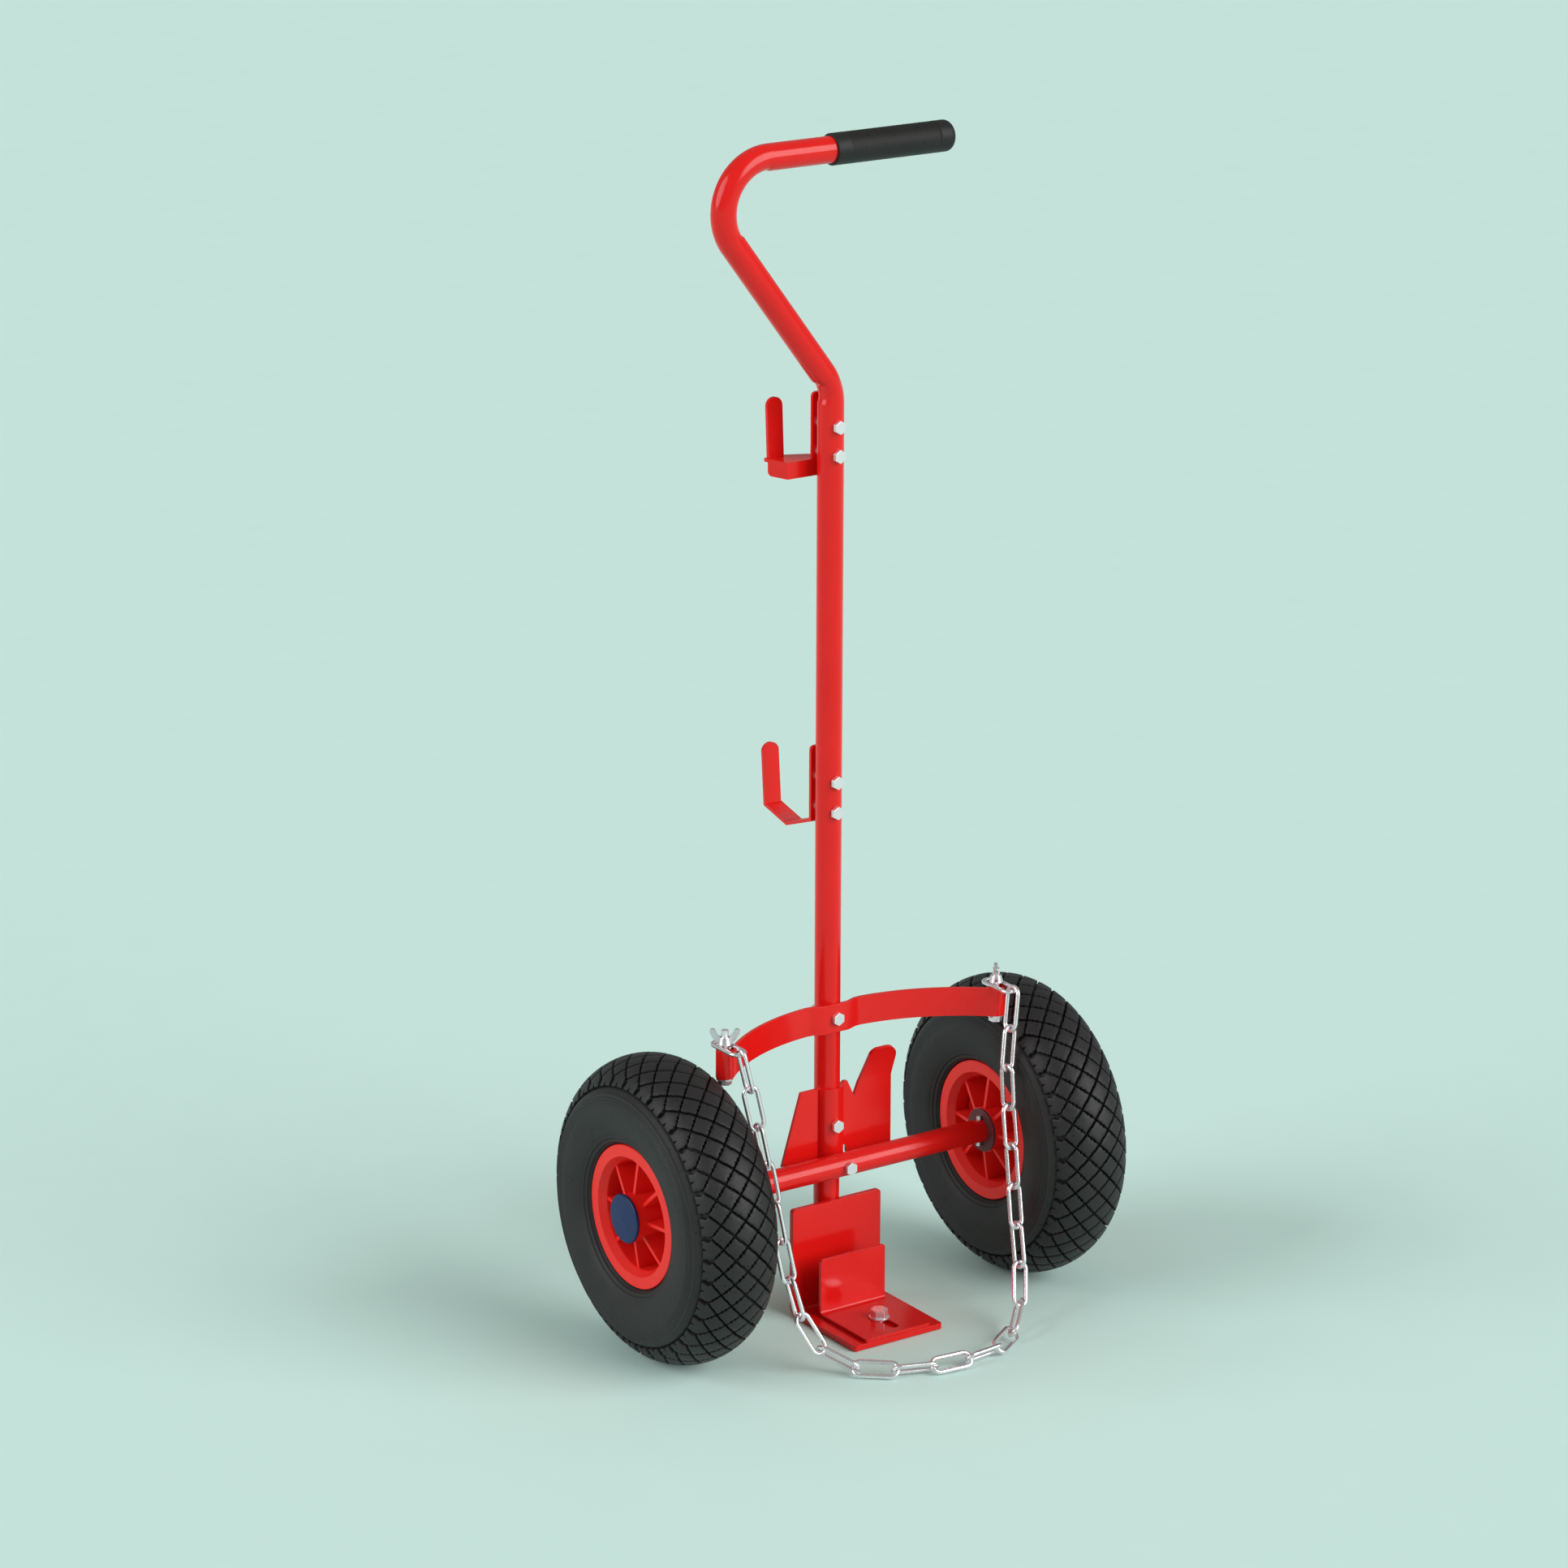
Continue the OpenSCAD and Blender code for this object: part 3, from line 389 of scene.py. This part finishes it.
def curve_through(points, spacing):
    out = []
    for i in range(len(points) - 1):
        p = [Vector(points[max(0, min(len(points) - 1, i + k))]) for k in (-1, 0, 1, 2)]
        count = max(1, round((p[2] - p[1]).length / spacing))
        for j in range(count):
            t = j / count
            out.append(0.5 * (2 * p[1] + (p[2] - p[0]) * t + (2 * p[0] - 5 * p[1] + 4 * p[2] - p[3]) * t * t
                              + (3 * p[1] - p[0] - 3 * p[2] + p[3]) * t ** 3))
    out.append(Vector(points[-1]))
    return out

def ringed(points, ridges):
    out = []
    for i, p in enumerate(points):
        run = (points[min(i + 1, len(points) - 1)] - points[max(i - 1, 0)]).normalized()
        lift = sum(high * math.exp(-((p.x - radius) / wide) ** 2) for radius, high, wide in ridges)
        out.append(p + Vector((-run.y, run.x)) * lift)
    return out

wall = [(52.5, 20), (51.0, 22), (50.2, 26), (50.4, 29.2), (52.0, 30.7), (60.6, 30.8), (61.3, 32.4), (62.6, 34.2),
        (65, 35.9), (70, 38.8), (76, 40.7), (83, 42.0), (90, 42.45), (96, 41.9), (101, 40.6), (104.4, 39.0)]
wall_rings = [(64.0, 0.7, 0.6), (67.2, 0.5, 0.5), (94.0, 0.45, 0.45), (96.2, 0.5, 0.45), (98.4, 0.5, 0.45),
              (100.6, 0.5, 0.45), (103.4, 0.8, 0.7)]
inside = [(56, -28), (66, -34), (92, -37), (116, -22), (119, 0), (116, 22), (92, 37), (66, 34), (56, 28)]
half_wall = [Vector((p.x, min(p.y, TYRE_HALF - WALL_INSIDE)))
             for p in ringed(curve_through(wall, WALL_SPACING), wall_rings)]
half_crown = [Vector(crown(a, groove_floor(a))) for a in (76, 74, 72, 70, 68, *range(64, -1, -4))]
half = half_wall + half_crown
section = [(p.x, p.y) for p in half] + [(p.x, -p.y) for p in reversed(half[:-1])] + inside
print("tyre section:", len(section), "points")

# %% [markdown]
# A block stands on the groove floor with slightly sloping sides and a rounded top edge. It is drawn in steps of
# the net, round and across, and laid on the crown ring by ring. Two of its sides have small teeth and the other
# two a small step, as cut in the mould. A lug at the shoulder is longer and split by a short narrow cut.

# %% Tread blocks
TEETH = [(0.12, 0.6), (0.3, 0.6), (0.34, -1), (0.4, -1), (0.44, 0.6), (0.6, 0.6), (0.64, -1), (0.7, -1),
         (0.74, 0.6), (0.9, 0.6)]
STEP = [(0.42, 0.6), (0.5, -0.6)]
MIDDLE = [(0.5, 0)]
TOOTH_HIGH, SUNK_MM, SECTIONS_ROUND = 0.03, 0.6, 152
BLOCK_RINGS = ((1.0, 0.93), (0.5, 0.89), (0.12, 0.865), (0.03, 0.84), (0.0, 0.79), (0.0, 0.4))

def edged(corners, kinds):
    line = []
    for k, here in enumerate(corners):
        a, b = Vector(here), Vector(corners[(k + 1) % len(corners)])
        out = Vector((b.y - a.y, a.x - b.x)).normalized()
        line.append(a)
        line += [a.lerp(b, t) + out * TOOTH_HIGH * rise for t, rise in kinds.get(k, [])]
    return line

def block(side, step, across_deg, outline, corners, faces):
    start, n = len(corners), len(outline)
    middle = sum(outline, Vector((0, 0))) / n
    for share, spread in BLOCK_RINGS:
        for p in outline:
            q = middle + (p - middle) * spread
            here = across_deg + q.y * STEP_ACROSS
            radius, across = crown(here, share * (groove_floor(here) + SUNK_MM))
            corners.append(on_tyre(side, step + q.x, radius, across))
    radius, across = crown(across_deg + middle.y * STEP_ACROSS, 0)
    corners.append(on_tyre(side, step + middle.x, radius, across))
    for k in range(len(BLOCK_RINGS) - 1):
        for i in range(n):
            j = (i + 1) % n
            faces.append((start + k * n + i, start + k * n + j, start + (k + 1) * n + j, start + (k + 1) * n + i))
    last = start + (len(BLOCK_RINGS) - 1) * n
    for i in range(n):
        faces.append((last + i, last + (i + 1) % n, start + len(BLOCK_RINGS) * n))

def ring_of(side, outline, corners, faces, count):
    start, n = len(corners), len(outline)
    for i in range(count):
        corners.extend(on_tyre(side, i * STEPS_ROUND / count, r, w) for r, w in outline)
    for i in range(count):
        j = (i + 1) % count
        for k in range(n):
            m = (k + 1) % n
            faces.append((start + i * n + k, start + i * n + m, start + j * n + m, start + j * n + k))

diamond = edged([(0.5, 0), (0, 1), (-0.5, 0), (0, -1)], {0: TEETH, 1: STEP, 2: TEETH, 3: STEP})
lug = edged([(0, -1), (0.47, -0.06), (0.45, 0.12), (0.36, 0.24), (0.41, 0.6), (0.48, 1.04), (0.08, 1.04),
             (0, 0.5), (-0.08, 1.04), (-0.48, 1.04), (-0.46, 0.6), (-0.52, 0.3), (-0.45, 0.12), (-0.47, -0.06)],
            {0: STEP, 4: MIDDLE, 5: MIDDLE, 8: MIDDLE, 9: MIDDLE, 13: TEETH})
print("corners of a block:", len(diamond), "and of a lug:", len(lug))

# %% [markdown]
# The casing is the section turned once round the axle. Six rows of diamonds stand on it, every other row set off
# by half a step, and a row of lugs closes the net at each shoulder.

# %% Both tyres
def make_tyre(side, word):
    corners, faces = [], []
    ring_of(side, section, corners, faces, SECTIONS_ROUND)
    for row in range(-2, 4):
        for i in range(STEPS_ROUND):
            block(side, i + 0.5 * (row % 2), (row - 0.5) * STEP_ACROSS, diamond, corners, faces)
    for end, first in ((1, 0.0), (-1, 0.5)):
        outline = [Vector((p.x, p.y * end)) for p in lug]
        for i in range(STEPS_ROUND):
            block(side, i + first, end * 3.5 * STEP_ACROSS, outline, corners, faces)
    make_piece(word + "_tyre_moulded", corners, faces, tyre_rubber, word + "_wheel", word + "_tyre", 40)

make_tyre(-1, "left")
make_tyre(1, "right")

# %% [markdown]
# ## Hand grip
# The grip is a soft vinyl sleeve pulled over the tube. Fine ribs run across its upper side, with a plain collar at
# the open end and a rounded closed end. The ribs fade out to the sides, as the mould has to open. It is made of
# rings of points along the tube, and each ring is joined to the next.

# %% Grip
ROUND = 64
GRIP_Y, GRIP_Z, GRIP_BORE, GRIP_END_R = 24.1, 987.0, 11.05, 6
RIB_PITCH, RIB_DEEP, RIBS_FACE_DEG = 2.6, 0.55, 35
COLLAR, PLAIN_END = 14, 16
grip_low, grip_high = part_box("hand_grip")
grip_r = (grip_high.z - grip_low.z) / 2 / MM
grip_start, grip_end = grip_low.x / MM, grip_high.x / MM

def join_rings(count):
    faces = []
    for i in range(count - 1):
        for k in range(ROUND):
            m = (k + 1) % ROUND
            faces.append((i * ROUND + k, i * ROUND + m, (i + 1) * ROUND + m, (i + 1) * ROUND + k))
    return faces

def last_lid(count):
    return tuple(reversed(range((count - 1) * ROUND, count * ROUND)))

def rib_depth(x, r, turn):
    if not (grip_start + COLLAR < x < grip_end - PLAIN_END and r == grip_r):
        return 0.0
    facing = max(0.0, math.cos(turn - math.radians(RIBS_FACE_DEG))) ** 0.6
    return RIB_DEEP * facing * (0.5 + 0.5 * math.cos(2 * math.pi * x / RIB_PITCH))

stations = [(grip_start, GRIP_BORE), (grip_start, grip_r - 0.7), (grip_start + 0.3, grip_r - 0.15),
            (grip_start + 0.8, grip_r)]
along = grip_start + 1.6
while along < grip_end - GRIP_END_R:
    stations.append((along, grip_r))
    along += 0.5
for a in range(0, 91, 10):
    r = grip_r - GRIP_END_R + GRIP_END_R * math.cos(math.radians(a))
    stations.append((grip_end - GRIP_END_R + GRIP_END_R * math.sin(math.radians(a)), r))
stations.append((grip_end, 0.4))
corners = []
for x, r in stations:
    for k in range(ROUND):
        turn = 2 * math.pi * k / ROUND
        here = r - rib_depth(x, r, turn)
        corners.append(Vector((x, GRIP_Y - here * math.sin(turn), GRIP_Z + here * math.cos(turn))) * MM)
faces = join_rings(len(stations)) + [last_lid(len(stations))]
make_piece("ribbed_hand_grip", corners, faces, grip_vinyl, "frame", "hand_grip", 50)
print("grip", round(grip_end - grip_start), "mm long")

# %% [markdown]
# ## The bent tube of the handle
# A tube is pressed round a former without a mandrel, so the inner side of each bend is pushed flat and ends in a
# small shoulder, while the outer side stays round. The lower bend is short, so it is pushed in deeper. The tube
# runs from the grip through the upper bend, down the slope and through the lower bend to the joint, and each ring
# of points carries that change of section.

# %% Line of the tube
TUBE_R, BEND_R, LOW_BEND_R, SLOPE = 11.0, 42.0, 45.0, math.radians(37.2)
PUSHED_IN, LOW_PUSH = 1.3, 1.7
bend_x, bend_z, joint_z = -61.5, 945.0, 449.0
slope_x, slope_z = bend_x - BEND_R * math.cos(SLOPE), bend_z - BEND_R * math.sin(SLOPE)
low_bend_z = slope_z + slope_x / math.tan(SLOPE) - LOW_BEND_R * math.tan(SLOPE / 2)

def stretch(start, end, facing, steps):
    a, b = Vector(start), Vector(end)
    return [(a.lerp(b, i / steps), facing, 0) for i in range(steps)]

def arc(middle, radius, first, last, facing_in, push, steps, ramp_mm):
    out = []
    for i in range(steps + 1):
        a = first + (last - first) * i / steps
        ray = Vector((math.cos(a), math.sin(a)))
        from_end = min(i, steps - i) / steps * radius * abs(last - first)
        rise = min(1.0, from_end / ramp_mm)
        out.append((Vector(middle) + ray * radius, ray * facing_in, push * (rise * rise * (3 - 2 * rise))))
    return out

down_slope, sideways = Vector((math.cos(SLOPE), math.sin(SLOPE))), Vector((1, 0))
low_start = (-LOW_BEND_R * (1 - math.cos(SLOPE)), low_bend_z + LOW_BEND_R * math.sin(SLOPE))
line = stretch((grip_end - GRIP_END_R, GRIP_Z), (bend_x, GRIP_Z), Vector((0, -1)), 6)
line += arc((bend_x, bend_z), BEND_R, math.pi / 2, math.pi + SLOPE, -1, 1, 64, 6)
line += stretch((slope_x, slope_z), low_start, down_slope, 6)[1:]
line += arc((-LOW_BEND_R, low_bend_z), LOW_BEND_R, SLOPE, 0, 1, -LOW_PUSH, 32, 9)
line += stretch((0, low_bend_z), (0, joint_z), sideways, 6)[1:] + [(Vector((0, joint_z)), sideways, 0)]
print("rings:", len(line), "lower bend at", round(low_bend_z, 2), "mm")

# %% Bent tube
corners = []
for middle, facing, push in line:
    for k in range(ROUND):
        turn = 2 * math.pi * k / ROUND
        inner = max(0.0, math.cos(turn) * math.copysign(1, push)) ** 1.5 * abs(push)
        r = TUBE_R - PUSHED_IN * inner
        here = middle + facing * r * math.cos(turn)
        corners.append(Vector((here.x, GRIP_Y + r * math.sin(turn), here.y)) * MM)
faces = join_rings(len(line)) + [tuple(range(ROUND)), last_lid(len(line))]
make_piece("bent_handle_tube", corners, faces, powder_coat, "frame", "upper_tube", 50)
